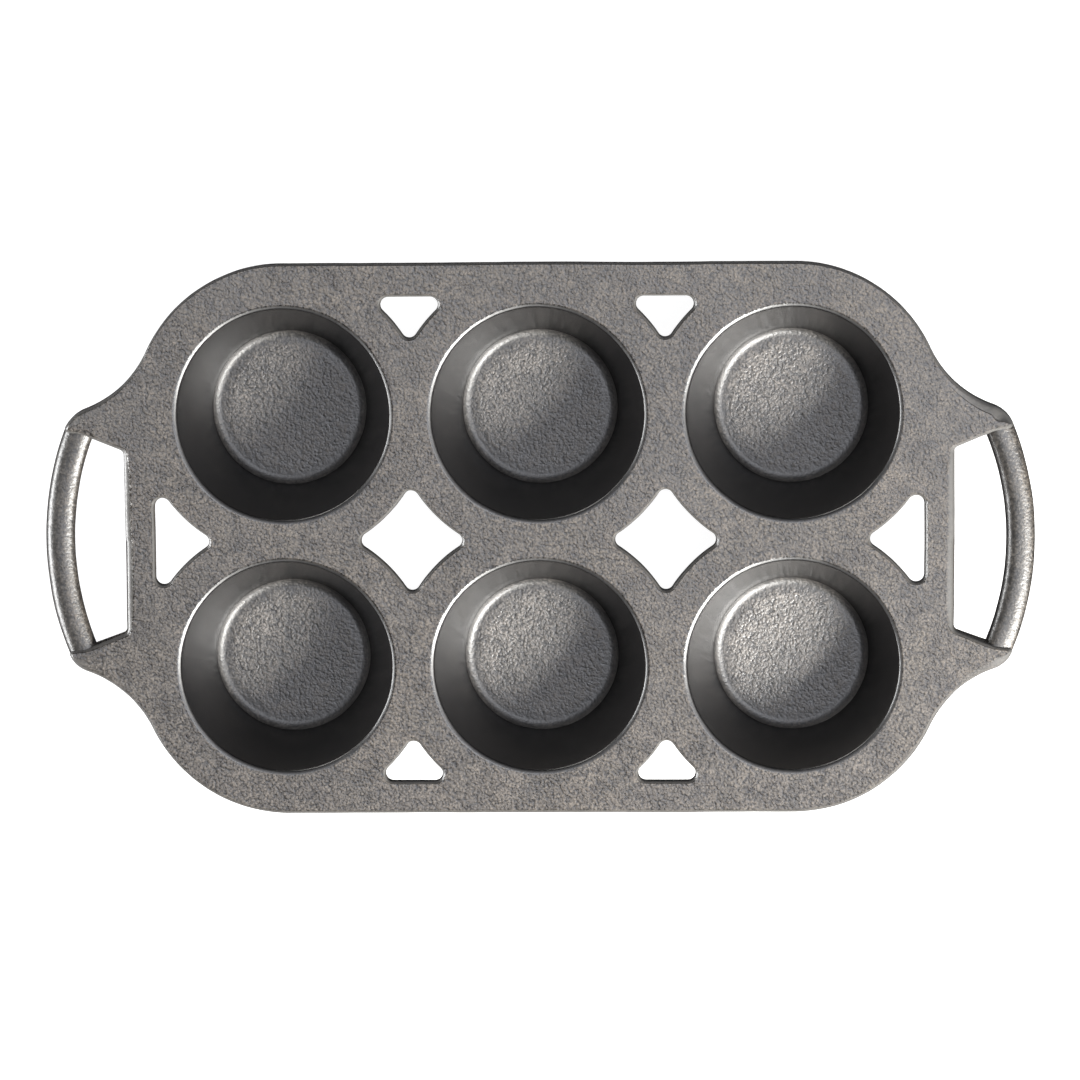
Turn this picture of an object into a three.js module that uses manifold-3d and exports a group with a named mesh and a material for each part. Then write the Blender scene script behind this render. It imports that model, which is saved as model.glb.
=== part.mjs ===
// Six-cup cast-iron muffin pan.
// Millimetres, +Z up. The origin is on the surface the pan stands on, midway between the six cup bottoms.
// +X runs along the row of three cups towards one handle, +Y across the two rows.
// The casting is divided into a pierced deck plate, six cups with rim collars and two handle bars.

import * as THREE from 'three';
import { mergeVertices } from 'three/addons/utils/BufferGeometryUtils.js';
import Module from 'manifold-3d';

// ---- driving dimensions ------------------------------------------------------------------------------

const HEIGHT = 37.5; // overall height, surface to deck top
const PITCH = 100; // between cup centres, both ways
const HALF_WIDTH = 109.4; // straight long edges at y = +-109.4
const CORNER_R = 59.4; // corner arcs, concentric with the corner cups
const DECK_T = 4.4; // deck thickness

const CUP_DEPTH = 33.5; // deck top to cup floor
const MOUTH_R = 42.2; // inside radius at the deck top
const FLOOR_R = 29.6; // where wall and floor would meet without their fillet
const WALL_T = 3.6; // cup wall, measured square to it
const FLOOR_FILLET = 2.4; // inside, wall to floor
const HEEL_FILLET = 3.0; // outside, wall to bottom
const NECK_FILLET = 2.4; // outside, wall to deck underside
const RIM_R = 0.8; // rounded mouth edge
const COLLAR_R = 47.0; // where a cup's collar ends and the deck begins
const CUP_SEGMENTS = 40;

const HOLE_ARC_R = 57.0; // web holes are bounded by arcs round the neighbouring cups
const HOLE_R = 3.0; // rounded corners of the web holes
const END_HOLE_R = 3.2; // outer corners of the two end holes
const EDGE_HOLE_Y = 96.1; // flat side of the four holes along the long edges
const END_HOLE_X = 151.4; // flat side of the two holes at the ends

const WAIST = { x: 193.66, y: 93.8, r: 44 }; // concave arc from the corner to the horn
const HORN = { x: 174.06, y: 39.84, r: 13.4 }; // convex arc of the horn tip
const HORN_END = [186.87, 43.76]; // outer end of the line where the handle begins
const HORN_IN = [174.0, 40.2]; // inner end of that line
const GRIP_X = 163.3; // straight inner side of the finger gap
const GRIP_Y = 35.8; // where the slanted sides of the gap leave it
const GRIP_R = 2.0;

const BAR_CX = 74; // centre of the handle arc on the X axis
const BAR_R = 115.3; // its middle line
const BAR_W = 11.4; // bar width
const BAR_H = 8.4; // bar height
const BAR_DROP = 0.8; // crown below the deck top
const BAR_END = 22.5; // half angle of the bar in degrees, past the horn line
const PAD_IN = 161.5; // where the thickening under the horn has faded out

const GAP = 0.3; // clearance kept between neighbouring solids

// ---- helpers -------------------------------------------------------------------------------------------

const wasm = await Module();
wasm.setup();

const DEG = Math.PI / 180;
const DECK_BOTTOM = HEIGHT - DECK_T;

function solidOf(geometry) {
  const g = geometry.index ? geometry.clone() : geometry;
  g.deleteAttribute('normal');
  g.deleteAttribute('uv');
  const m = mergeVertices(g, 1e-5);
  const index = m.index.array;
  const triangles = [];
  for (let i = 0; i < index.length; i += 3) {
    const [a, b, c] = [index[i], index[i + 1], index[i + 2]];
    if (a !== b && b !== c && c !== a) triangles.push(a, b, c);
  }
  return new wasm.Manifold(new wasm.Mesh({
    numProp: 3,
    vertProperties: new Float32Array(m.attributes.position.array),
    triVerts: new Uint32Array(triangles),
  }));
}

function geometryOf(solid) {
  const mesh = solid.getMesh();
  const g = new THREE.BufferGeometry();
  const position = new Float32Array(mesh.numVert * 3);
  for (let v = 0; v < mesh.numVert; v++) {
    for (let k = 0; k < 3; k++) position[3 * v + k] = mesh.vertProperties[v * mesh.numProp + k];
  }
  g.setAttribute('position', new THREE.BufferAttribute(position, 3));
  g.setIndex(new THREE.BufferAttribute(new Uint32Array(mesh.triVerts), 1));
  g.computeVertexNormals();
  return g;
}

// Points of an arc, both ends included. Angles in degrees.
function arc(cx, cy, r, from, to, steps) {
  const points = [];
  for (let i = 0; i <= steps; i++) {
    const a = (from + ((to - from) * i) / steps) * DEG;
    points.push([cx + r * Math.cos(a), cy + r * Math.sin(a)]);
  }
  return points;
}

const angleOf = (cx, cy, x, y) => Math.atan2(y - cy, x - cx) / DEG;
const vectors = (points) => points.map(([x, y]) => new THREE.Vector2(x, y));

// Neighbouring points closer than a hundredth of a millimetre become one.
function tidy(points) {
  const kept = [];
  for (const p of points) {
    const q = kept[kept.length - 1];
    if (!q || Math.hypot(p[0] - q[0], p[1] - q[1]) > 0.01) kept.push(p);
  }
  const [a, b] = [kept[0], kept[kept.length - 1]];
  if (Math.hypot(a[0] - b[0], a[1] - b[1]) < 0.01) kept.pop();
  return kept;
}

// A quarter of an outline, from the +Y axis to the +X axis, becomes the whole outline.
function fourfold(quarter) {
  const q1 = quarter;
  const q4 = quarter.map(([x, y]) => [x, -y]).reverse();
  const q3 = quarter.map(([x, y]) => [-x, -y]);
  const q2 = quarter.map(([x, y]) => [-x, y]).reverse();
  return tidy([...q1, ...q4, ...q3, ...q2]);
}

// ---- deck plate ------------------------------------------------------------------------------------------

function deckQuarter() {
  const points = [[0, HALF_WIDTH]];
  const toWaist = angleOf(PITCH, PITCH / 2, WAIST.x, WAIST.y);
  points.push(...arc(PITCH, PITCH / 2, CORNER_R, 90, toWaist, 14));
  const waistFrom = 180 + toWaist;
  const waistTo = 360 + angleOf(WAIST.x, WAIST.y, HORN.x, HORN.y);
  points.push(...arc(WAIST.x, WAIST.y, WAIST.r, waistFrom, waistTo, 8));
  const hornFrom = angleOf(HORN.x, HORN.y, WAIST.x, WAIST.y);
  const hornTo = angleOf(HORN.x, HORN.y, ...HORN_END);
  points.push(...arc(HORN.x, HORN.y, HORN.r, hornFrom, hornTo, 6));
  points.push(HORN_IN);
  // slanted side of the finger gap, then a rounded inner corner
  const slant = Math.atan2(HORN_IN[1] - GRIP_Y, HORN_IN[0] - GRIP_X);
  const turn = Math.PI / 2 - slant;
  const back = GRIP_R * Math.tan(turn / 2);
  points.push(...arc(GRIP_X + GRIP_R, GRIP_Y - back, GRIP_R, 90 + slant / DEG, 180, 3));
  points.push([GRIP_X, 0]);
  return points;
}

// A hole bounded by arcs round the cups, with rounded corners. Each corner is [centre x, centre y, radius].
function roundedHole(corners, sides) {
  const points = [];
  const n = corners.length;
  for (let i = 0; i < n; i++) {
    const [cx, cy, r] = corners[i];
    const before = sides[(i + n - 1) % n];
    const after = sides[i];
    const touch = (side) => (side.line !== undefined ? side.line : angleOf(cx, cy, side.x, side.y));
    const from = touch(before);
    let to = touch(after);
    while (to < from) to += 360;
    points.push(...arc(cx, cy, r, from, to, 4));
    if (after.line === undefined) {
      // the concave side as seen from the cup that it follows
      const [nx, ny] = corners[(i + 1) % n];
      const a0 = angleOf(after.x, after.y, cx, cy);
      let a1 = angleOf(after.x, after.y, nx, ny);
      if (a1 - a0 > 180) a1 -= 360;
      if (a0 - a1 > 180) a1 += 360;
      points.push(...arc(after.x, after.y, HOLE_ARC_R, a0, a1, 4).slice(1, -1));
    }
  }
  return tidy(points);
}

const half = PITCH / 2;
const reach = (r) => Math.sqrt((HOLE_ARC_R + r) ** 2 - half ** 2);

function diamond() {
  const t = half - reach(HOLE_R);
  const cup = (x, y) => ({ x, y });
  return roundedHole(
    [[t, 0, HOLE_R], [0, t, HOLE_R], [-t, 0, HOLE_R], [0, -t, HOLE_R]],
    [cup(half, half), cup(-half, half), cup(-half, -half), cup(half, -half)],
  );
}

// Between two cups of the +Y row: flat side outwards, point inwards. Relative to x midway, y from the pan's middle.
function edgeHole() {
  const y = EDGE_HOLE_Y - HOLE_R;
  const x = half - Math.sqrt((HOLE_ARC_R + HOLE_R) ** 2 - (y - half) ** 2);
  return roundedHole(
    [[x, y, HOLE_R], [-x, y, HOLE_R], [0, half + reach(HOLE_R), HOLE_R]],
    [{ line: 90 }, { x: -half, y: half }, { x: half, y: half }],
  );
}

// Between the two cups at the +X end: flat side outwards, point inwards.
function endHole() {
  const x = END_HOLE_X - END_HOLE_R;
  const y = half - Math.sqrt((HOLE_ARC_R + END_HOLE_R) ** 2 - (x - PITCH) ** 2);
  return roundedHole(
    [[x, -y, END_HOLE_R], [x, y, END_HOLE_R], [PITCH + reach(HOLE_R), 0, HOLE_R]],
    [{ line: 0 }, { x: PITCH, y: half }, { x: PITCH, y: -half }],
  );
}

const moved = (points, dx, dy) => points.map(([x, y]) => [x + dx, y + dy]);
const flippedX = (points) => points.map(([x, y]) => [-x, y]).reverse();
const flippedY = (points) => points.map(([x, y]) => [x, -y]).reverse();

// The thickening under the horn at +X +Y, seen from above, just inside the horn's edges.
function padOutline() {
  const inset = 0.3;
  const hornTo = angleOf(HORN.x, HORN.y, ...HORN_END);
  const hornFrom = angleOf(HORN.x, HORN.y, WAIST.x, WAIST.y);
  const waist = 360 + angleOf(WAIST.x, WAIST.y, HORN.x, HORN.y);
  return tidy([
    [HORN_IN[0] + inset, HORN_IN[1] + inset],
    ...arc(HORN.x, HORN.y, HORN.r - inset, hornTo + 1.5, hornFrom, 6),
    ...arc(WAIST.x, WAIST.y, WAIST.r + inset, waist, waist - 24, 5),
    [PAD_IN, 61.8],
    [PAD_IN, 39],
    [GRIP_X + 1.6, 36.9],
  ]);
}

// It is as deep as the handle bar where the bar begins, and fades out towards the cups.
function pad() {
  const top = DECK_BOTTOM + 0.5;
  const bottom = HEIGHT - BAR_DROP - BAR_H + 0.4;
  const g = new THREE.ExtrudeGeometry(new THREE.Shape(vectors(padOutline())), {
    depth: top - bottom,
    bevelEnabled: false,
    steps: 1,
  });
  g.translate(0, 0, bottom);
  const from = 178;
  const slope = Math.atan2(DECK_BOTTOM - bottom, from - PAD_IN);
  const cut = new THREE.BoxGeometry(80, 120, 20);
  cut.translate(-40, 0, -10);
  cut.rotateY(slope);
  cut.translate(from, 50, bottom);
  return solidOf(g).subtract(solidOf(cut));
}

function deckPlate() {
  const shape = new THREE.Shape(vectors(fourfold(deckQuarter())));
  const hole = (points) => shape.holes.push(new THREE.Path(vectors(points)));
  for (const x of [-half, half]) {
    hole(moved(diamond(), x, 0));
    hole(moved(edgeHole(), x, 0));
    hole(moved(flippedY(edgeHole()), x, 0));
  }
  hole(endHole());
  hole(flippedX(endHole()));
  for (const x of [-PITCH, 0, PITCH]) {
    for (const y of [-half, half]) {
      hole(arc(x, y, COLLAR_R + GAP / 2, 0, 360, CUP_SEGMENTS).slice(0, -1));
    }
  }
  const g = new THREE.ExtrudeGeometry(shape, { depth: DECK_T, bevelEnabled: false, steps: 1 });
  g.translate(0, 0, DECK_BOTTOM);
  const right = pad();
  const left = right.mirror([1, 0, 0]);
  let solid = solidOf(g);
  for (const horn of [right, left]) solid = solid.add(horn).add(horn.mirror([0, 1, 0]));
  return geometryOf(solid);
}

// ---- cups --------------------------------------------------------------------------------------------------

// The fillet of radius r at corner p between the directions to a and to b.
function fillet(a, p, b, r, steps) {
  const u = [a[0] - p[0], a[1] - p[1]];
  const v = [b[0] - p[0], b[1] - p[1]];
  const lu = Math.hypot(...u);
  const lv = Math.hypot(...v);
  const [ux, uy, vx, vy] = [u[0] / lu, u[1] / lu, v[0] / lv, v[1] / lv];
  const angle = Math.acos(ux * vx + uy * vy);
  const back = r / Math.tan(angle / 2);
  const d = r / Math.sin(angle / 2);
  const [bx, by] = [ux + vx, uy + vy];
  const lb = Math.hypot(bx, by);
  const c = [p[0] + (bx / lb) * d, p[1] + (by / lb) * d];
  const a0 = angleOf(c[0], c[1], p[0] + ux * back, p[1] + uy * back);
  let a1 = angleOf(c[0], c[1], p[0] + vx * back, p[1] + vy * back);
  if (a1 - a0 > 180) a1 -= 360;
  if (a0 - a1 > 180) a1 += 360;
  return arc(c[0], c[1], r, a0, a1, steps);
}

// Half section of a cup, radius against height, from the middle of its bottom round to the middle of its floor.
function cupSection() {
  const floor = HEIGHT - CUP_DEPTH;
  const lean = (MOUTH_R - FLOOR_R) / CUP_DEPTH; // outwards per millimetre up
  const out = WALL_T * Math.sqrt(1 + lean * lean); // wall thickness measured level
  const inner = (z) => FLOOR_R + lean * (z - floor);
  const collar = COLLAR_R - GAP / 2;
  const heel = [inner(0) + out, 0];
  const neck = [inner(DECK_BOTTOM) + out, DECK_BOTTOM];
  const rim = [MOUTH_R, HEIGHT];
  const toe = [FLOOR_R, floor];
  return [
    [0, 0],
    ...fillet([0, 0], heel, neck, HEEL_FILLET, 2),
    ...fillet(heel, neck, [collar, DECK_BOTTOM], NECK_FILLET, 2),
    [collar, DECK_BOTTOM],
    [collar, HEIGHT],
    ...fillet([collar, HEIGHT], rim, toe, RIM_R, 1),
    ...fillet(rim, toe, [0, floor], FLOOR_FILLET, 2),
    [0, floor],
  ];
}

function cup() {
  const g = new THREE.LatheGeometry(vectors(cupSection()), CUP_SEGMENTS);
  g.rotateX(Math.PI / 2); // the section's height becomes +Z
  return geometryOf(solidOf(g));
}

// ---- handles -----------------------------------------------------------------------------------------------

// Bar section: flattened round, a little squarer than an ellipse. First coordinate up, second across.
function barSection(sides) {
  const points = [];
  for (let i = 0; i < sides; i++) {
    const a = (2 * Math.PI * i) / sides;
    const [c, s] = [Math.cos(a), Math.sin(a)];
    const power = 2 / 2.3;
    points.push([
      (BAR_H / 2) * Math.sign(c) * Math.abs(c) ** power,
      (BAR_W / 2) * Math.sign(s) * Math.abs(s) ** power,
    ]);
  }
  return points;
}

class BarLine extends THREE.Curve {
  getPoint(t, target = new THREE.Vector3()) {
    const a = (2 * t - 1) * BAR_END * DEG;
    return target.set(BAR_CX + BAR_R * Math.cos(a), BAR_R * Math.sin(a), HEIGHT - BAR_DROP - BAR_H / 2);
  }
}

function handle() {
  const section = new THREE.Shape(vectors(barSection(16)));
  const bar = new THREE.ExtrudeGeometry(section, { steps: 26, bevelEnabled: false, extrudePath: new BarLine() });
  // the bar stops just short of the horns' end faces
  const angle = Math.atan2(HORN_END[1] - HORN_IN[1], HORN_END[0] - HORN_IN[0]);
  const beyond = new THREE.BoxGeometry(60, 40, 60);
  beyond.translate(0, 20 - GAP, 0);
  beyond.rotateZ(angle);
  beyond.translate(...HORN_IN, HEIGHT);
  const cutter = solidOf(beyond);
  return geometryOf(solidOf(bar).subtract(cutter).subtract(cutter.mirror([0, 1, 0])));
}

// ---- assembly ----------------------------------------------------------------------------------------------

const iron = (name, color, roughness) => {
  const m = new THREE.MeshStandardMaterial({ color, roughness, metalness: 0.55 });
  m.name = name;
  return m;
};

const group = new THREE.Group();

function place(name, geometry, material, x = 0, y = 0, turn = 0) {
  const mesh = new THREE.Mesh(geometry, material);
  mesh.name = name;
  mesh.position.set(x, y, 0);
  mesh.rotation.z = turn;
  group.add(mesh);
}

place('deck_plate', deckPlate(), iron('seasoned_iron_deck', 0x55504b, 0.55));

const cupGeometry = cup();
for (const [row, y] of [['back', half], ['front', -half]]) {
  for (const [column, x] of [['left', -PITCH], ['centre', 0], ['right', PITCH]]) {
    place(`cup_${row}_${column}`, cupGeometry, iron('seasoned_iron_cup', 0x2b2827, 0.45), x, y);
  }
}

const handleGeometry = handle();
place('handle_right', handleGeometry, iron('seasoned_iron_handle', 0x4a4541, 0.4));
place('handle_left', handleGeometry, iron('seasoned_iron_handle', 0x4a4541, 0.4), 0, 0, Math.PI);

export default group;
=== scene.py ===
# Six-cup cast-iron muffin pan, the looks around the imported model.
# Shapes are worked out in millimetres in the model's own frame and written in metres: the origin is on the
# surface the pan stands on, midway between the six cup bottoms, +X along the rows of three, +Z up.

import math

import bpy
import numpy as np
from mathutils import Euler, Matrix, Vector
from mathutils.geometry import delaunay_2d_cdt


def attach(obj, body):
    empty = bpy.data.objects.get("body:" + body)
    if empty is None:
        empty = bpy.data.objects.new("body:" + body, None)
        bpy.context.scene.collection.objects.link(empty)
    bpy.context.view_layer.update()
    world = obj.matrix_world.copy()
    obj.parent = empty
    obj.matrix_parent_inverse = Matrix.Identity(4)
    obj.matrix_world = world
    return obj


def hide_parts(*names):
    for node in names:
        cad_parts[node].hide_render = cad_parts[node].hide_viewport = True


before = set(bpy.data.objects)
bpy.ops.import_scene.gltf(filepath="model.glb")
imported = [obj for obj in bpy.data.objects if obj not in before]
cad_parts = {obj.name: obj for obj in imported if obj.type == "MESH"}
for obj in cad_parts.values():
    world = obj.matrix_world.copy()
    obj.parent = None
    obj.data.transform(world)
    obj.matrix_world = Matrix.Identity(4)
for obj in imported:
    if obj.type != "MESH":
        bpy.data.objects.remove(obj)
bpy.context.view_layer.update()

# ---- dimensions, in millimetres ------------------------------------------------------------------------------

MM = 0.001
TOP = 37.5
DECK_T = 4.4
UNDER = TOP - DECK_T
PITCH, HALF = 100.0, 50.0
HALF_WIDTH = 109.4
CORNER_R = 59.4

CUP_DEPTH = 33.5
MOUTH_R = 42.0
FLOOR_R = 30.0
WALL_T = 3.6
COLLAR_R, COLLAR_TOP = 47.0, 43.5  # the line between cup and deck, below and on top
SIDES = 128

HOLE_ARC_R = 57.0
HOLE_R = 3.0
END_HOLE_R = 3.2
EDGE_HOLE_Y = 96.1
END_HOLE_X = 151.4

WAIST, WAIST_R = np.array([193.66, 93.8]), 44.0
HORN, HORN_R = np.array([174.06, 39.84]), 13.4
HORN_END = np.array([186.87, 43.76])
HORN_IN = np.array([174.0, 40.2])
GRIP_X, GRIP_Y, GRIP_R = 163.3, 35.8, 2.0

BAR_CX, BAR_R, BAR_W, BAR_H, BAR_DROP = 74.0, 115.3, 11.4, 8.4, 0.8

STEP = 1.2  # spacing of points along edges


# ---- the unevenness of a sand casting ------------------------------------------------------------------------


def lattice(i, j, k, seed):
    h = (i * 73856093) ^ (j * 19349663) ^ (k * 83492791) ^ (seed * 40503)
    h = (h & 0xFFFFFFFF).astype(np.uint64)
    m = np.uint64(0xFFFFFFFF)
    h = ((h ^ (h >> np.uint64(15))) * np.uint64(2246822519)) & m
    h = ((h ^ (h >> np.uint64(13))) * np.uint64(3266489917)) & m
    h = h ^ (h >> np.uint64(16))
    return h.astype(float) / 2147483647.5 - 1.0


def noise(p, wavelength, seed):
    """Smooth noise from -1 to 1 at the points p."""
    q = p / wavelength
    i = np.floor(q).astype(np.int64)
    f = q - i
    f = f * f * f * (f * (f * 6 - 15) + 10)
    total = np.zeros(len(p))
    for a in (0, 1):
        for b in (0, 1):
            for c in (0, 1):
                w = (
                    (f[:, 0] if a else 1 - f[:, 0])
                    * (f[:, 1] if b else 1 - f[:, 1])
                    * (f[:, 2] if c else 1 - f[:, 2])
                )
                total += w * lattice(i[:, 0] + a, i[:, 1] + b, i[:, 2] + c, seed)
    return total


def ease(t):
    t = np.clip(t, 0, 1)
    return t * t * (3 - 2 * t)


def uneven(p):
    """Every surface wanders by a tenth or two of a millimetre; the feet stay flat."""
    d = np.stack(
        [0.20 * noise(p, 47, 11 + k) + 0.08 * noise(p, 14, 21 + k) + 0.035 * noise(p, 5.3, 31 + k) for k in range(3)],
        axis=1,
    )
    d[:, 2] *= ease(p[:, 2] / 12.0)
    return p + d


# ---- outlines in plan ----------------------------------------------------------------------------------------


def arc(centre, r, start, end, step=STEP):
    n = max(3, int(math.ceil(abs(end - start) * math.pi / 180 * r / step)))
    a = np.radians(np.linspace(start, end, n + 1))
    return np.stack([centre[0] + r * np.cos(a), centre[1] + r * np.sin(a)], axis=1)


def line(p, q, step=STEP):
    n = max(1, int(round(math.dist(p, q) / step)))
    t = np.linspace(0, 1, n + 1)[:, None]
    return np.asarray(p) * (1 - t) + np.asarray(q) * t


def heading(p, q):
    return math.degrees(math.atan2(q[1] - p[1], q[0] - p[0]))


def tidy(points):
    """Drops points that repeat the one before, ends included."""
    gap = np.linalg.norm(points[:, :2] - np.roll(points[:, :2], 1, axis=0), axis=1)
    return points[gap > 0.02]


def with_edge(points, run, drop, band=0.9, fall=0.0, bow=1.1):
    """Adds how far the edge rounding reaches inwards and down at each point, the band inside it, its fall and bow."""
    n = len(points)
    return np.column_stack([points] + [np.broadcast_to(v, n) for v in (run, drop, band, fall, bow)])


def quarter():
    """Deck outline from the middle of a long edge round to the middle of the finger gap, x and y positive."""
    corner = np.array([PITCH, HALF])
    to_waist = heading(corner, WAIST)
    waist_end = 360 + heading(WAIST, HORN)
    horn_start = heading(HORN, WAIST)
    along = (HORN_END - HORN_IN) / np.linalg.norm(HORN_END - HORN_IN)
    into = np.array([-along[1], along[0]])  # from the handle's end line into the horn
    # the small rounded corner between the horn's tip and the handle's end line
    r = 1.8
    base = HORN_IN + r * into - HORN
    half_b = float(base @ along)
    t = -half_b + math.sqrt(half_b**2 - float(base @ base) + (HORN_R - r) ** 2)
    c = HORN_IN + t * along + r * into
    horn_stop = heading(HORN, c)
    parts = [
        with_edge(line((0, HALF_WIDTH), (PITCH, HALF_WIDTH)), 1.1, 1.1),
        with_edge(arc(corner, CORNER_R, 90, to_waist), 1.1, 1.1),
    ]
    # towards the horn the edge rolls off in a band that widens, then closes again at the tip
    waist = arc(WAIST, WAIST_R, 180 + to_waist, waist_end)
    t_waist = np.linspace(0, 1, len(waist))
    grow = ease((t_waist - 0.25) / 0.75)
    parts.append(with_edge(waist, 1.1, 1.1, 0.9 + 1.6 * grow, 1.25 * grow))
    horn = arc(HORN, HORN_R, horn_start, horn_stop, 0.6)
    t_horn = np.linspace(0, 1, len(horn))
    width = np.interp(t_horn, [0, 0.15, 0.32, 0.53, 0.73, 0.88, 1], [2.50, 3.05, 3.55, 3.25, 1.85, 0.70, 0.12])
    fall = np.interp(t_horn, [0, 0.32, 0.6, 1], [1.25, 1.85, 2.1, 2.1])
    parts.append(with_edge(horn, np.linspace(1.1, 1.3, len(horn)), np.linspace(1.1, 1.3, len(horn)), width, fall))
    tip = arc(c, r, horn_stop, heading((0, 0), -into), 0.5)
    parts.append(with_edge(tip, 1.3, 1.3, 0.12, np.linspace(2.1, 0.5, len(tip))))
    seam = line(HORN_IN + t * along, HORN_IN, 0.9)
    seam += into * 0.6 * np.sin(np.pi * np.linspace(0, 1, len(seam)))[:, None] ** 2  # flatter towards the tip
    parts.append(with_edge(seam, 1.25, 1.25, np.linspace(0.12, 0.9, len(seam)), 0.5 * np.linspace(1, 0, len(seam)) ** 3))
    slant = math.atan2(HORN_IN[1] - GRIP_Y, HORN_IN[0] - GRIP_X)
    back = GRIP_R * math.tan((math.pi / 2 - slant) / 2)
    bend = arc((GRIP_X + GRIP_R, GRIP_Y - back), GRIP_R, 90 + math.degrees(slant), 180, 0.5)
    parts.append(with_edge(line(HORN_IN, bend[0], 0.9), 1.25, 1.25))
    parts.append(with_edge(bend, np.linspace(1.3, 1.9, len(bend)), np.linspace(1.25, 1.3, len(bend))))
    grip = line(bend[-1], (GRIP_X, 0))
    parts.append(with_edge(grip, 1.9 + 0.8 * ease(np.linspace(0, 4, len(grip))), 1.3))
    return tidy(np.concatenate(parts))


def outline():
    """The whole outline with the material on its left."""
    q = quarter()
    # the horns' edges are not dressed alike: the back right one keeps the widest roll, the left ones are flat
    dressed = {(1, 1): (1, 1.3, 1), (1, -1): (0.75, 0.52, 1.8), (-1, 1): (0.8, 0.3, 1.8), (-1, -1): (0.8, 0.3, 1.8)}
    flip = lambda sx, sy: q * np.array([sx, sy, 1, 1, *dressed[sx, sy]])
    whole = np.concatenate([flip(1, 1), flip(1, -1)[::-1], flip(-1, -1), flip(-1, 1)[::-1]])
    whole[:, 2:4] *= (1 - 0.35 * ease((whole[:, 1] - 60) / 15))[:, None]  # the back edge is the sharper one
    return tidy(whole)[::-1]


def rounded_hole(corners, sides):
    """A web hole of arcs round the cups and straight sides, with rounded corners, anticlockwise."""
    points = []
    n = len(corners)
    for i in range(n):
        cx, cy, r = corners[i]
        before, after = sides[i - 1], sides[i]
        start = before if np.isscalar(before) else heading((cx, cy), before)
        end = after if np.isscalar(after) else heading((cx, cy), after)
        while end < start:
            end += 360
        points.append(arc((cx, cy), r, start, end, 0.55))
        nx, ny, nr = corners[(i + 1) % n]
        if np.isscalar(after):
            a = math.radians(after)
            u = np.array([math.cos(a), math.sin(a)])
            points.append(line(np.array([cx, cy]) + r * u, np.array([nx, ny]) + nr * u, 1.0))
        else:
            a0 = heading(after, (cx, cy))
            a1 = heading(after, (nx, ny))
            if a1 - a0 > 180:
                a1 -= 360
            if a0 - a1 > 180:
                a1 += 360
            points.append(arc(after, HOLE_ARC_R, a0, a1, 1.0))
    return tidy(np.concatenate(points))


def web_holes():
    reach = lambda r: math.sqrt((HOLE_ARC_R + r) ** 2 - HALF**2)
    t = HALF - reach(HOLE_R)
    diamond = rounded_hole(
        [(t, 0, HOLE_R), (0, t, HOLE_R), (-t, 0, HOLE_R), (0, -t, HOLE_R)],
        [(HALF, HALF), (-HALF, HALF), (-HALF, -HALF), (HALF, -HALF)],
    )
    y = EDGE_HOLE_Y - HOLE_R
    x = HALF - math.sqrt((HOLE_ARC_R + HOLE_R) ** 2 - (y - HALF) ** 2)
    edge = rounded_hole(
        [(x, y, HOLE_R), (-x, y, HOLE_R), (0, HALF + reach(HOLE_R), HOLE_R)],
        [90.0, (-HALF, HALF), (HALF, HALF)],
    )
    x = END_HOLE_X - END_HOLE_R
    y = HALF - math.sqrt((HOLE_ARC_R + END_HOLE_R) ** 2 - (x - PITCH) ** 2)
    end = rounded_hole(
        [(x, -y, END_HOLE_R), (x, y, END_HOLE_R), (PITCH + reach(HOLE_R), 0, HOLE_R)],
        [0.0, (PITCH, HALF), (PITCH, -HALF)],
    )
    found = []
    for s in (-1, 1):
        found.append(diamond + (s * HALF, 0))
        found.append(edge + (s * HALF, 0))
        found.append((edge * (1, -1))[::-1] + (s * HALF, 0))
    found.append(end)
    found.append((end * (-1, 1))[::-1])
    return [with_edge(h[::-1], 0.95, 0.95) for h in found]  # clockwise: material on the left


# ---- deck ----------------------------------------------------------------------------------------------------


def dressing(x, y):
    """How far the top of the left horns falls towards the handle, where the step is dressed off."""
    p = np.stack([np.abs(x), np.abs(y)], axis=1)
    along = (HORN_END - HORN_IN) / np.linalg.norm(HORN_END - HORN_IN)
    into = np.array([-along[1], along[0]])
    s = (p - HORN_IN) @ into
    t = (p - HORN_IN) @ along
    fall = 0.75 * np.clip(1 - np.maximum(s, 0) / 3.2, 0, 1) ** 2 * ease((t + 1.5) / 3) * (p[:, 1] > 30)
    return np.where(x < 0, fall, 0.0)


def underside(x, y):
    """Height of the deck's underside: level, thicker under the horns."""
    ax, ay = np.abs(x), np.abs(y)
    return UNDER - 4.8 * ease((ax - 158.5) / 20.0) * ease((ay - 29) / 10.0)


def inside(points, loops):
    """Which points are within the material, by counting crossings."""
    odd = np.zeros(len(points), bool)
    for loop in loops:
        a, b = loop, np.roll(loop, -1, axis=0)
        for lo in range(0, len(points), 4000):
            p = points[lo : lo + 4000]
            up = (a[None, :, 1] > p[:, None, 1]) != (b[None, :, 1] > p[:, None, 1])
            dy = b[:, 1] - a[:, 1]
            dy = np.where(np.abs(dy) < 1e-12, 1e-12, dy)
            cross = a[None, :, 0] + (p[:, None, 1] - a[None, :, 1]) / dy[None] * (b - a)[None, :, 0]
            odd[lo : lo + 4000] ^= (np.sum(up & (p[:, None, 0] < cross), axis=1) % 2).astype(bool)
    return odd


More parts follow.
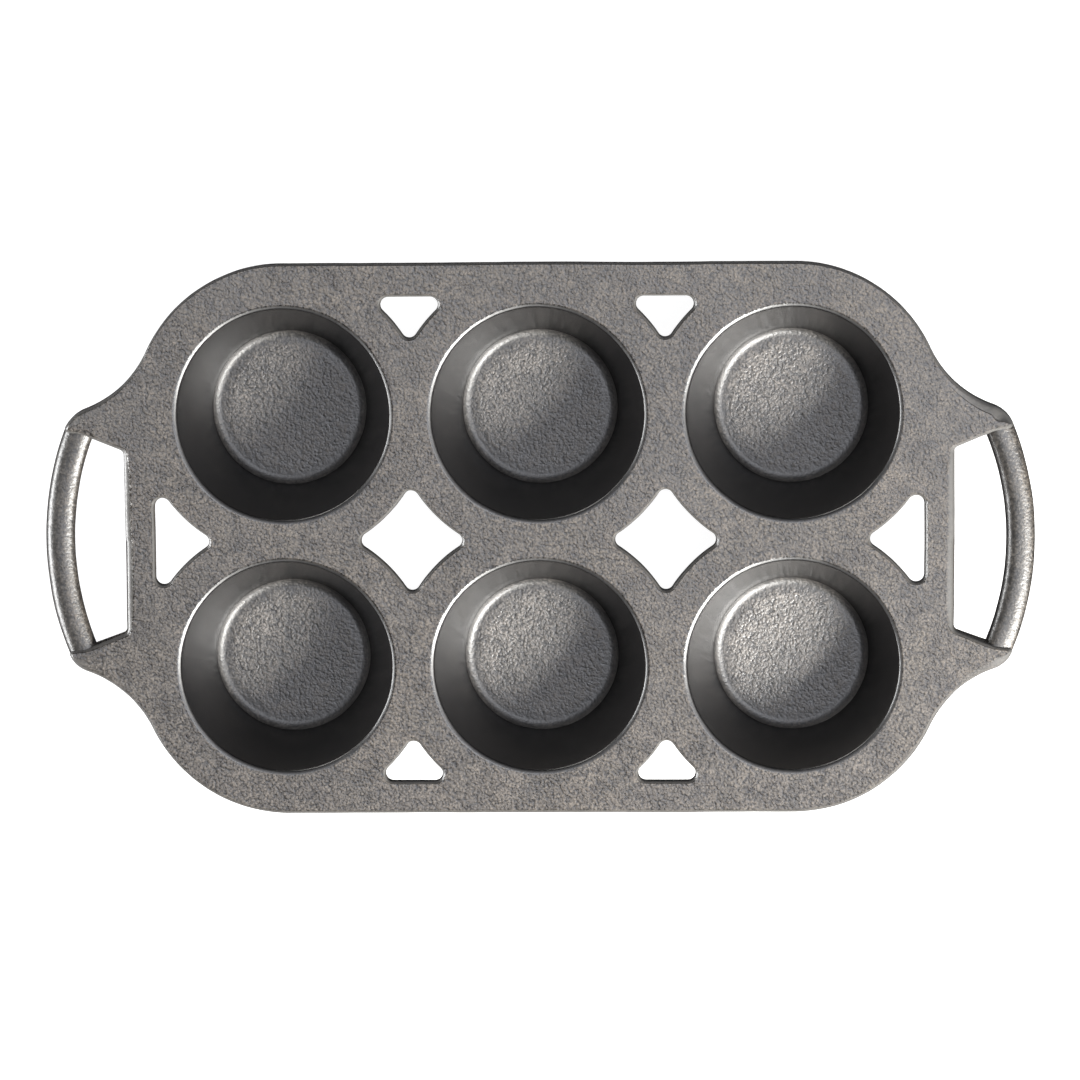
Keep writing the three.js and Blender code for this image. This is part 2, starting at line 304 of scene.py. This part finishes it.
def filling(loops):
    """Points for the inside of the flat faces: an even net, closer on the horns."""
    bounds = np.concatenate(loops)

    def net(step, x0, x1, y0, y1):
        rows = np.arange(y0, y1, step * 0.866)
        grid = [np.stack([np.arange(x0 + (k % 2) * step / 2, x1, step), np.full(len(np.arange(x0 + (k % 2) * step / 2, x1, step)), y)], 1) for k, y in enumerate(rows)]
        return np.concatenate(grid)

    def clear(points, others, gap):
        keep = np.ones(len(points), bool)
        for lo in range(0, len(points), 2000):
            p = points[lo : lo + 2000]
            keep[lo : lo + 2000] = np.min(np.sum((p[:, None] - others[None]) ** 2, axis=2), axis=1) > gap * gap
        return points[keep]

    fine = net(1.5, 155, 192, 28, 74)
    fine = np.concatenate([fine * (sx, sy) for sx in (-1, 1) for sy in (-1, 1)])
    fine = clear(fine[inside(fine, loops)], bounds, 0.9)
    coarse = net(4.4, -195, 195, -112, 112)
    coarse = coarse[inside(coarse, loops)]
    coarse = clear(coarse, np.concatenate([bounds, fine]), 2.3)
    return np.concatenate([fine, coarse])


def triangles(loops, extra):
    """Triangles of the flat region between the loops. Indices run over the loops' points, then the extra ones."""
    points = np.concatenate(loops + [extra])
    edges, start = [], 0
    for loop in loops:
        n = len(loop)
        edges += [(start + i, start + (i + 1) % n) for i in range(n)]
        start += n
    out = delaunay_2d_cdt([Vector(p) for p in points.tolist()], edges, [], 0, 1e-7)
    position = np.array([tuple(v) for v in out[0]])
    origin = [o[0] for o in out[3]]
    tri = np.array([f for f in out[2]])
    a, b, c = position[tri[:, 0]], position[tri[:, 1]], position[tri[:, 2]]
    area = (b[:, 0] - a[:, 0]) * (c[:, 1] - a[:, 1]) - (b[:, 1] - a[:, 1]) * (c[:, 0] - a[:, 0])
    tri[area < 0] = tri[area < 0][:, ::-1]
    keep = inside((a + b + c) / 3, loops) & (np.abs(area) > 1e-9)
    return [tuple(origin[i] for i in t) for t in tri[keep]]


class Build:
    """Collects the points and faces of one piece."""

    def __init__(self):
        self.points, self.grain, self.bed, self.faces, self.sharp = [], [], [], [], []
        self.count = 0

    def ring(self, points, grain, bed=0.0):
        n = len(points)
        self.points.append(np.asarray(points, float))
        self.grain.append(np.broadcast_to(grain, n).astype(float))
        self.bed.append(np.broadcast_to(bed, n).astype(float))
        first = self.count
        self.count += n
        return np.arange(first, first + n)

    def band(self, lower, upper):
        """Quads between two closed rings; their outside is to the right of the rings' direction."""
        a, b = np.roll(lower, -1), np.roll(upper, -1)
        self.faces += [tuple(int(v) for v in q) for q in np.stack([lower, a, b, upper], axis=1)]

    def crease(self, ring):
        self.sharp += [tuple(sorted((int(u), int(v)))) for u, v in zip(ring, np.roll(ring, -1))]

    def object(self, name, material, node):
        points = uneven(np.concatenate(self.points)) * MM
        mesh = bpy.data.meshes.new(name)
        mesh.from_pydata(points.tolist(), [], self.faces)
        mesh.update()
        mesh.polygons.foreach_set("use_smooth", [True] * len(mesh.polygons))
        for label, values in (("grain", self.grain), ("bed", self.bed)):
            layer = mesh.attributes.new(label, "FLOAT", "POINT")
            layer.data.foreach_set("value", np.concatenate(values).astype(np.float32))
        if self.sharp:
            wanted = set(self.sharp)
            layer = mesh.attributes.new("sharp_edge", "BOOLEAN", "EDGE")
            layer.data.foreach_set("value", [tuple(sorted(e.vertices)) in wanted for e in mesh.edges])
        mesh.materials.append(material)
        piece = bpy.data.objects.new(name, mesh)
        bpy.context.scene.collection.objects.link(piece)
        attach(piece, "root")
        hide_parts(node)
        return piece


def circle(x, y, r):
    a = 2 * np.pi * np.arange(SIDES) / SIDES
    return np.stack([x + r * np.cos(a), y + r * np.sin(a)], axis=1)


CUPS = [
    ("back_left", -PITCH, HALF),
    ("back_centre", 0.0, HALF),
    ("back_right", PITCH, HALF),
    ("front_left", -PITCH, -HALF),
    ("front_centre", 0.0, -HALF),
    ("front_right", PITCH, -HALF),
]


def deck(material):
    build = Build()
    tops, bottoms, top_rings, bottom_rings = [], [], [], []
    for number, loop in enumerate([outline()] + web_holes()):
        p, run, drop, band, fall, bow = loop[:, :2], loop[:, 2:3], loop[:, 3], loop[:, 4:5], loop[:, 5], loop[:, 6]
        # the edges stand back a little towards the top, least in the holes and at the tips of the horns
        from_tip = np.linalg.norm(np.abs(p) - HORN_END, axis=1)[:, None]
        draft = np.full((len(p), 1), 0.22) if number else 0.22 + np.where(p[:, 1:] > 0, 0.06, 0.42) * ease((from_tip - 5) / 8)
        along = np.roll(p, -1, axis=0) - np.roll(p, 1, axis=0)
        along /= np.linalg.norm(along, axis=1)[:, None]
        out = np.stack([along[:, 1], -along[:, 0]], axis=1)
        low = underside(p[:, 0], p[:, 1])
        shoulder = TOP - drop - fall
        sandy = 1 - 0.8 * ease(fall / 1.2)  # the rolled bands are smooth; on the deck that also gives them the pale smooth colour, a painted highlight
        gloss = np.clip((out * (-0.73, 0.68)).sum(axis=1), 0, 1)  # more so on the edges towards the back left
        rings = []
        foot = 0.7
        for k in range(4):  # rounded bottom edge
            a = math.radians(30 * k)
            q = p - out * foot * (1 - math.sin(a))
            z = low + foot * (1 - math.cos(a))
            rings.append(build.ring(np.column_stack([q, z]), 0.8))
            if k == 0:
                bottoms.append(q)
                bottom_rings.append(rings[0])
        for t in (0.33, 0.66):  # side
            q = p - out * draft * t
            z = (low + foot) * (1 - t) + shoulder * t
            rings.append(build.ring(np.column_stack([q, z]), 0.95, gloss))
        for k in range(8):  # rounded top edge
            a = math.radians(90 * k / 7)
            q = p - out * (draft + run * (1 - math.cos(a)))
            z = TOP - drop * (1 - math.sin(a)) - fall * (1 - (run * (1 - math.cos(a)) / (run + band))[:, 0]) ** bow
            # the rounding is smoother towards the outside: rubbed iron, and on the deck also the pale smooth colour, a
            # painted highlight
            wear_and_sheen = (0.1 + 0.9 * (k / 7) ** 6) * sandy
            rings.append(build.ring(np.column_stack([q, z - dressing(q[:, 0], q[:, 1])]), wear_and_sheen, gloss))
        for t in (0.3, 0.6, 0.85, 1.0):  # the band inside it
            q = p - out * (draft + run + band * t)
            z = TOP - fall * (1 - (run + band * t) / (run + band))[:, 0] ** bow
            wear_and_sheen = sandy if t < 1 else 1.0
            rings.append(build.ring(np.column_stack([q, z - dressing(q[:, 0], q[:, 1])]), wear_and_sheen, gloss * (1 - sandy) if t < 1 else 0.0))
        tops.append(q)
        top_rings.append(rings[-1])
        for lower, upper in zip(rings, rings[1:]):
            build.band(lower, upper)
    for _, x, y in CUPS:
        c, d = circle(x, y, COLLAR_TOP)[::-1], circle(x, y, COLLAR_R)[::-1]
        low = build.ring(np.column_stack([d, np.full(SIDES, UNDER)]), 0.8)
        high = build.ring(np.column_stack([c, np.full(SIDES, TOP)]), 1.0)
        build.band(low, high)
        build.crease(low)
        build.crease(high)
        tops.append(c)
        bottoms.append(d)
        top_rings.append(high)
        bottom_rings.append(low)
    for loops, rings, is_top in ((tops, top_rings, True), (bottoms, bottom_rings, False)):
        extra = filling(loops)
        z = TOP - dressing(extra[:, 0], extra[:, 1]) if is_top else underside(extra[:, 0], extra[:, 1])
        index = np.concatenate(rings + [build.ring(np.column_stack([extra, z]), 1.0 if is_top else 0.8)])
        for a, b, c in triangles(loops, extra):
            a, b, c = int(index[a]), int(index[b]), int(index[c])
            build.faces.append((a, b, c) if is_top else (c, b, a))
    return build.object("deck_casting", material, "deck_plate")


# ---- cups ----------------------------------------------------------------------------------------------------


def fillet(a, p, b, r, n):
    """Points of the rounding of radius r at corner p between a and b."""
    a, p, b = (np.asarray(v, float) for v in (a, p, b))
    u = (a - p) / np.linalg.norm(a - p)
    v = (b - p) / np.linalg.norm(b - p)
    half = math.acos(float(np.clip(u @ v, -1, 1))) / 2
    w = (u + v) / np.linalg.norm(u + v)
    c = p + w * r / math.sin(half)
    a0, a1 = heading(c, p + u * r / math.tan(half)), heading(c, p + v * r / math.tan(half))
    if a1 - a0 > 180:
        a1 -= 360
    if a0 - a1 > 180:
        a1 += 360
    t = np.radians(np.linspace(a0, a1, n + 1))
    return np.stack([c[0] + r * np.cos(t), c[1] + r * np.sin(t)], axis=1)


def cup_profile():
    """Radius, height, grain and bed of a cup's half section, from the middle of its bottom to the middle of its floor."""
    floor = TOP - CUP_DEPTH
    lean = (MOUTH_R - FLOOR_R) / CUP_DEPTH
    out = WALL_T * math.sqrt(1 + lean * lean)
    inner = lambda z: FLOOR_R + lean * (z - floor)
    heel, neck = (inner(0) + out, 0.0), (inner(UNDER) + out, UNDER)
    rim, toe = (MOUTH_R, TOP), (FLOOR_R, floor)
    rows = []

    def add(points, grain, bed=0.0):
        points = np.asarray(points, float)
        n = len(points)
        rows.append(np.column_stack([points, np.broadcast_to(grain, n), np.broadcast_to(bed, n)]))

    def span(p, q, n):
        t = np.linspace(0, 1, n + 2)[1:-1, None]
        return np.asarray(p) * (1 - t) + np.asarray(q) * t

    heel_round = fillet((0, 0), heel, neck, 3.0, 7)
    neck_round = fillet(heel, neck, (COLLAR_R, UNDER), 2.4, 6)
    rim_round = fillet((COLLAR_R, TOP), rim, toe, 1.8, 8)
    toe_round = fillet(rim, toe, (0, floor), 3.6, 10)
    add([(0, 0), (6, 0), (14, 0), (22, 0)], 0.7)
    add(heel_round, 0.7)
    add(span(heel_round[-1], neck_round[0], 9), 0.8)
    add(neck_round, 0.8)
    add([(COLLAR_R, UNDER)], 0.8)
    add([(COLLAR_TOP, TOP)], 0.55)
    add(rim_round, [0.45, 0.22, 0.10, 0.06, 0.05, 0.05, 0.05, 0.05, 0.05], [0, 0.5, 2, 3.2, 2.6, 1.2, 0.4, 0, 0])
    add(span(rim_round[-1], toe_round[0], 16), 0.05)
    turn = ease(np.linspace(0, 4, len(toe_round)))
    add(toe_round, 0.05 + 0.35 * turn, turn * np.linspace(3.8, 2.0, len(toe_round)))  # over 1: duller still
    add(span(toe_round[-1], (0, floor), 7), 1.0, 1.0)
    add([(0, floor)], 1.0, 1.0)
    return np.concatenate(rows)


def cup(name, x, y, material):
    build = Build()
    profile = cup_profile()
    rings = []
    for r, z, grain, bed in profile:
        if r < 1e-9:
            rings.append(build.ring([(x, y, z)], grain, bed))
        else:
            rings.append(build.ring(np.column_stack([circle(x, y, r), np.full(SIDES, z)]), grain, bed))
    for lower, upper in zip(rings, rings[1:]):
        if len(lower) == 1:
            build.faces += [(int(lower[0]), int(b), int(a)) for a, b in zip(upper, np.roll(upper, -1))]
        elif len(upper) == 1:
            build.faces += [(int(a), int(b), int(upper[0])) for a, b in zip(lower, np.roll(lower, -1))]
        else:
            build.band(lower, upper)
    for ring, (r, z, *_) in zip(rings, profile):
        if r in (COLLAR_R, COLLAR_TOP):
            build.crease(ring)
    return build.object(f"cup_{name}_casting", material, f"cup_{name}")


# ---- handle bars ---------------------------------------------------------------------------------------------


def handle(name, sign, material):
    """A bowed bar of flattened round section whose ends run into the horns."""
    build = Build()
    along = (HORN_END - HORN_IN) / np.linalg.norm(HORN_END - HORN_IN)
    into = np.array([-along[1], along[0]])
    n = 44
    a = 2 * np.pi * np.arange(n) / n
    power = 2 / 2.25
    u = BAR_W / 2 * np.sign(np.cos(a)) * np.abs(np.cos(a)) ** power
    w = BAR_H / 2 * np.sign(np.sin(a)) * np.abs(np.sin(a)) ** power
    z0 = TOP - BAR_DROP - BAR_H / 2
    # where each line of the bar ends, inside the horn
    end = np.full(n, math.radians(21.0))
    for _ in range(12):
        p = np.stack([BAR_CX + (BAR_R + u) * np.cos(end), (BAR_R + u) * np.sin(end)], axis=1)
        slope = np.stack([-(BAR_R + u) * np.sin(end), (BAR_R + u) * np.cos(end)], axis=1)
        end -= ((p - HORN_IN) @ into - 2.4) / (slope @ into)
    # the flank on the +X side is the sandier one
    side = sign * np.cos(a)
    grain = 0.36 + 0.46 * ease((side + 0.1) / 0.5) * (1 - 0.7 * ease((side - 0.75) / 0.25))
    stations = np.linspace(-1, 1, 101)
    rings = []
    for s in stations:
        b = end * s
        x = BAR_CX + (BAR_R + u) * np.cos(b)
        y = (BAR_R + u) * np.sin(b)
        rings.append(build.ring(np.column_stack([sign * x, sign * y, z0 + w]), grain))
    for lower, upper in zip(rings, rings[1:]):
        # the ring runs from the outer side over the crown, so its direction is reversed along the sweep
        build.band(upper, lower)
    for ring, outward in ((rings[0], False), (rings[-1], True)):
        x, y, z = np.concatenate(build.points)[ring].mean(axis=0)
        middle = int(build.ring([(x, y, z)], 0.45)[0])
        for i, j in zip(ring, np.roll(ring, -1)):
            build.faces.append((int(i), int(j), middle) if not outward else (int(j), int(i), middle))
        build.crease(ring)
    return build.object(f"handle_{name}_casting", material, f"handle_{name}")


# ---- materials -----------------------------------------------------------------------------------------------


class Nodes:
    """Short calls for building a node tree."""

    def __init__(self, material):
        material.use_nodes = True
        self.tree = material.node_tree
        self.tree.nodes.clear()

    def add(self, kind, inputs=None, **settings):
        node = self.tree.nodes.new(kind)
        for key, value in settings.items():
            setattr(node, key, value)
        for key, value in (inputs or {}).items():
            if isinstance(value, bpy.types.NodeSocket):
                self.tree.links.new(value, node.inputs[key])
            else:
                node.inputs[key].default_value = value
        return node

    def math(self, operation, a, b=0.0, clamp=False):
        return self.add("ShaderNodeMath", {0: a, 1: b}, operation=operation, use_clamp=clamp).outputs[0]

    def noise(self, where, scale, detail=2.0, roughness=0.5, distortion=0.0):
        return self.add(
            "ShaderNodeTexNoise",
            {"Vector": where, "Scale": scale, "Detail": detail, "Roughness": roughness, "Distortion": distortion},
        ).outputs["Fac"]

    def remap(self, value, a, b, c, d):
        return self.add(
            "ShaderNodeMapRange", {"Value": value, "From Min": a, "From Max": b, "To Min": c, "To Max": d}, clamp=True
        ).outputs["Result"]

    def mix(self, factor, a, b, blend="MIX"):
        node = self.add("ShaderNodeMix", data_type="RGBA", blend_type=blend)
        for socket, value in ((node.inputs[0], factor), (node.inputs[6], a), (node.inputs[7], b)):
            if isinstance(value, bpy.types.NodeSocket):
                self.tree.links.new(value, socket)
            else:
                socket.default_value = value
        return node.outputs[2]

    def attribute(self, name):
        return self.add("ShaderNodeAttribute", attribute_name=name, attribute_type="GEOMETRY").outputs["Fac"]


PEBBLES, GRIT = 850.0, 1350.0  # to the metre
FINE, BROAD = 0.00024, 0.0005  # heights of the relief, in metres
TONE = (0.15, 2.60)  # how dark the hollows between the pebbles are and how light their tops


def iron(name, base, brown, smooth_tint, rough, rough_smooth, bed_tint=None, bed_rough=0.0):
    """Seasoned cast iron: a pebbled sand skin where 'grain' is 1, a smooth oily one where it is 0."""
    material = bpy.data.materials.new(name)
    n = Nodes(material)
    where = n.add("ShaderNodeTexCoord").outputs["Object"]
    grain = n.attribute("grain")
    bed = n.attribute("bed")
    smooth = n.math("SUBTRACT", 1.0, grain, True)

    # the print of the sand: rounded pebbles about a millimetre across, with finer grit on them
    drift = n.add("ShaderNodeTexNoise", {"Vector": where, "Scale": 420.0, "Detail": 1.0}).outputs["Color"]
    drift = n.add("ShaderNodeVectorMath", {0: drift, "Scale": 0.0012}, operation="SCALE").outputs[0]
    bent = n.add("ShaderNodeVectorMath", {0: where, 1: drift}, operation="ADD").outputs[0]
    pebble = n.add(
        "ShaderNodeTexVoronoi", {"Vector": bent, "Scale": PEBBLES, "Smoothness": 0.6}, feature="SMOOTH_F1"
    ).outputs["Distance"]
    pebble = n.remap(pebble, 0.05, 0.75, 1.0, 0.0)
    grit = n.noise(where, GRIT, 2.0, 0.6)
    lumps = n.noise(where, 420.0, 2.0, 0.5)
    swell = n.noise(where, 70.0, 2.0, 0.5)
    height = n.math("ADD", n.math("MULTIPLY", pebble, 0.40), n.math("ADD", n.math("MULTIPLY", grit, 0.55), n.math("MULTIPLY", lumps, 0.60)))

    # colour: black seasoning, browner in broad patches
    patches = n.noise(where, 26.0, 4.0, 0.55, 0.4)
    color = n.mix(n.remap(patches, 0.40, 0.66, 0.0, 0.85), base, brown)
    mottle = n.noise(where, 150.0, 3.0, 0.6)
    if bed_tint:
        color = n.mix(bed, color, bed_tint)
    grains = n.math("ADD", n.math("MULTIPLY", pebble, 0.40), n.math("MULTIPLY", n.remap(grit, 0.28, 0.72, 0.0, 1.0), 0.60))
    tone = n.math("MULTIPLY", n.remap(grains, 0.20, 0.85, *TONE), n.remap(mottle, 0.32, 0.68, 0.65, 1.35))
    color = n.add("ShaderNodeVectorMath", {0: color, "Scale": tone}, operation="SCALE").outputs[0]
    # where the skin is smooth it takes smooth_tint: dark seasoning on the cups and handles, but pale grey on the deck,
    # a painted highlight on its edges and bands
    color = n.mix(smooth, color, smooth_tint)

    # gloss: oily satin, uneven in patches
    roughness = n.math("ADD", n.math("MULTIPLY", grain, rough), n.math("MULTIPLY", smooth, rough_smooth))
    roughness = n.math("ADD", roughness, n.math("MULTIPLY", n.math("SUBTRACT", mottle, 0.5), n.math("ADD", 0.07, n.math("MULTIPLY", grain, 0.15))))
    roughness = n.math("ADD", roughness, n.math("MULTIPLY", n.math("MULTIPLY", n.math("SUBTRACT", n.math("MAXIMUM", grains, 0.36), 0.52), grain), 0.64))
    roughness = n.math("ADD", roughness, n.math("MULTIPLY", bed, bed_rough), True)

    # relief, in metres
    relief = n.math("MULTIPLY", height, grain)
    if bed_tint:
        relief = n.math("MULTIPLY", relief, n.math("ADD", 1.0, n.math("MULTIPLY", n.math("MINIMUM", bed, 1.0), 0.70)))
    bump = n.add("ShaderNodeBump", {"Strength": 1.0, "Distance": FINE, "Height": relief})
    swell = n.math("MULTIPLY", swell, n.math("ADD", 0.4, n.math("MULTIPLY", grain, 0.6)))
    broad = n.add("ShaderNodeBump", {"Strength": 0.6, "Distance": BROAD, "Height": swell, "Normal": bump.outputs[0]})

    shader = n.add(
        "ShaderNodeBsdfPrincipled",
        {"Base Color": color, "Roughness": roughness, "Metallic": 0.0, "Normal": broad.outputs[0], "IOR": 1.8},
    )
    n.add("ShaderNodeOutputMaterial", {"Surface": shader.outputs[0]})
    return material


# the deck's smooth tint is pale grey: its worn edges and rolled bands are painted lighter as a highlight, in place of
# most of the key's glare, which is taken off the deck
iron_deck = iron("iron_deck", (0.0280, 0.0242, 0.0206, 1), (0.0324, 0.0274, 0.0222, 1), (0.056, 0.054, 0.051, 1), 0.40, 0.56, None, -0.20)
iron_cup = iron("iron_cup", (0.0244, 0.0200, 0.0154, 1), (0.0288, 0.0230, 0.0166, 1), (0.003, 0.003, 0.0034, 1), 0.40, 0.215, (0.049, 0.0435, 0.038, 1), 0.08)
iron_handle = iron("iron_handle", (0.0244, 0.0200, 0.0154, 1), (0.0288, 0.0230, 0.0166, 1), (0.005, 0.005, 0.005, 1), 0.56, 0.27)

# ---- the pan -------------------------------------------------------------------------------------------------

plate = deck(iron_deck)
bowls = [cup(label, x, y, iron_cup) for label, x, y in CUPS]
bars = [handle("right", 1, iron_handle), handle("left", -1, iron_handle)]

# ---- floor, light and camera ---------------------------------------------------------------------------------

scene = bpy.context.scene
scene.view_settings.view_transform = "Standard"

mesh = bpy.data.meshes.new("floor")
mesh.from_pydata([(-6, -6, -0.0002), (6, -6, -0.0002), (6, 6, -0.0002), (-6, 6, -0.0002)], [], [(0, 1, 2, 3)])
floor = bpy.data.objects.new("floor", mesh)
scene.collection.objects.link(floor)
paper = bpy.data.materials.new("floor_paper")
n = Nodes(paper)
surface = n.add(
    "ShaderNodeBsdfPrincipled",
    {"Base Color": (0.25, 0.25, 0.25, 1), "Roughness": 0.9, "Emission Color": (1, 1, 1, 1), "Emission Strength": 0.95},
)
n.add("ShaderNodeOutputMaterial", {"Surface": surface.outputs[0]})
mesh.materials.append(paper)
floor.visible_glossy = False  # the iron mirrors the studio below, not this sheet

world = bpy.data.worlds.new("studio")
scene.world = world
n = Nodes(world)
direction = n.add("ShaderNodeTexCoord").outputs["Generated"]
up = n.add("ShaderNodeSeparateXYZ", {0: direction}).outputs[2]
low = n.math("MULTIPLY", n.remap(up, -0.70, -0.35, 0.0, 0.30), n.remap(up, 0.0, 0.12, 1.0, 0.0))
level = n.math("MAXIMUM", low, 0.035)
for axis, strength in (((0.42, 0, 1), 2.60), ((0, 0.27, 1), 1.60)):  # two broad soft patches overhead
    toward = n.add("ShaderNodeVectorMath", {0: direction, 1: Vector(axis).normalized()}, operation="DOT_PRODUCT").outputs["Value"]
    level = n.math("ADD", level, n.remap(toward, 0.86, 0.97, 0.0, strength))
back = n.add("ShaderNodeBackground", {"Color": (0.955, 0.975, 1.05, 1), "Strength": level})
n.add("ShaderNodeOutputWorld", {"Surface": back.outputs[0]})


def softbox(name, azimuth, elevation, distance, width, height, watts, aim=(0, 0, 0.03), spread=180):
    """A soft rectangular lamp placed about the middle of the pan and turned to the point aim."""
    a, e = math.radians(azimuth), math.radians(elevation)
    lamp = bpy.data.lights.new(name, "AREA")
    lamp.shape = "RECTANGLE"
    lamp.size, lamp.size_y = width, height
    lamp.energy = watts
    lamp.spread = math.radians(spread)
    holder = bpy.data.objects.new(name, lamp)
    place = Vector((0, 0, 0.03)) + distance * Vector((math.cos(e) * math.cos(a), math.cos(e) * math.sin(a), math.sin(e)))
    holder.location = place
    holder.rotation_euler = (Vector(aim) - place).to_track_quat("-Z", "Y").to_euler()
    scene.collection.objects.link(holder)
    return holder


def lights_only(lamp, name, *pieces):
    """Keeps a lamp to these pieces."""
    group = bpy.data.collections.new(name)
    for piece in pieces:
        group.objects.link(piece)
    lamp.light_linking.receiver_collection = group


# the key, with its glare taken off the flat deck as a polarising filter would
KEY, KEY_COLOR, GLARE = 50, (1.0, 0.985, 0.95), 0.28
key = softbox("key", -43, 32.5, 0.95, 0.55, 0.36, KEY)
key_deck = softbox("key_deck", -43, 32.5, 0.95, 0.55, 0.36, KEY * (1 - GLARE))
key_deck.visible_glossy = False
key_glare = softbox("key_glare", -43, 32.5, 0.95, 0.55, 0.36, KEY * GLARE)
for lamp in (key, key_deck, key_glare):
    lamp.data.color = KEY_COLOR
lights_only(key, "lit_by_key", floor, *bowls, *bars)
lights_only(key_deck, "lit_by_key_deck", plate)
lights_only(key_glare, "lit_by_key_glare", plate)
softbox("strip", 185, 12, 0.8, 0.6, 0.28, 9.5)

camera = bpy.data.cameras.new("camera")
camera.sensor_width = 36.0
camera.lens = 142.09
camera.clip_start, camera.clip_end = 0.05, 50
eye = bpy.data.objects.new("camera", camera)
eye.location = (0.05968, 0.22316, 1.69708)
eye.rotation_euler = Euler((math.radians(-7.66), math.radians(1.972), math.radians(-0.481)), "XYZ")
scene.collection.objects.link(eye)
scene.camera = eye
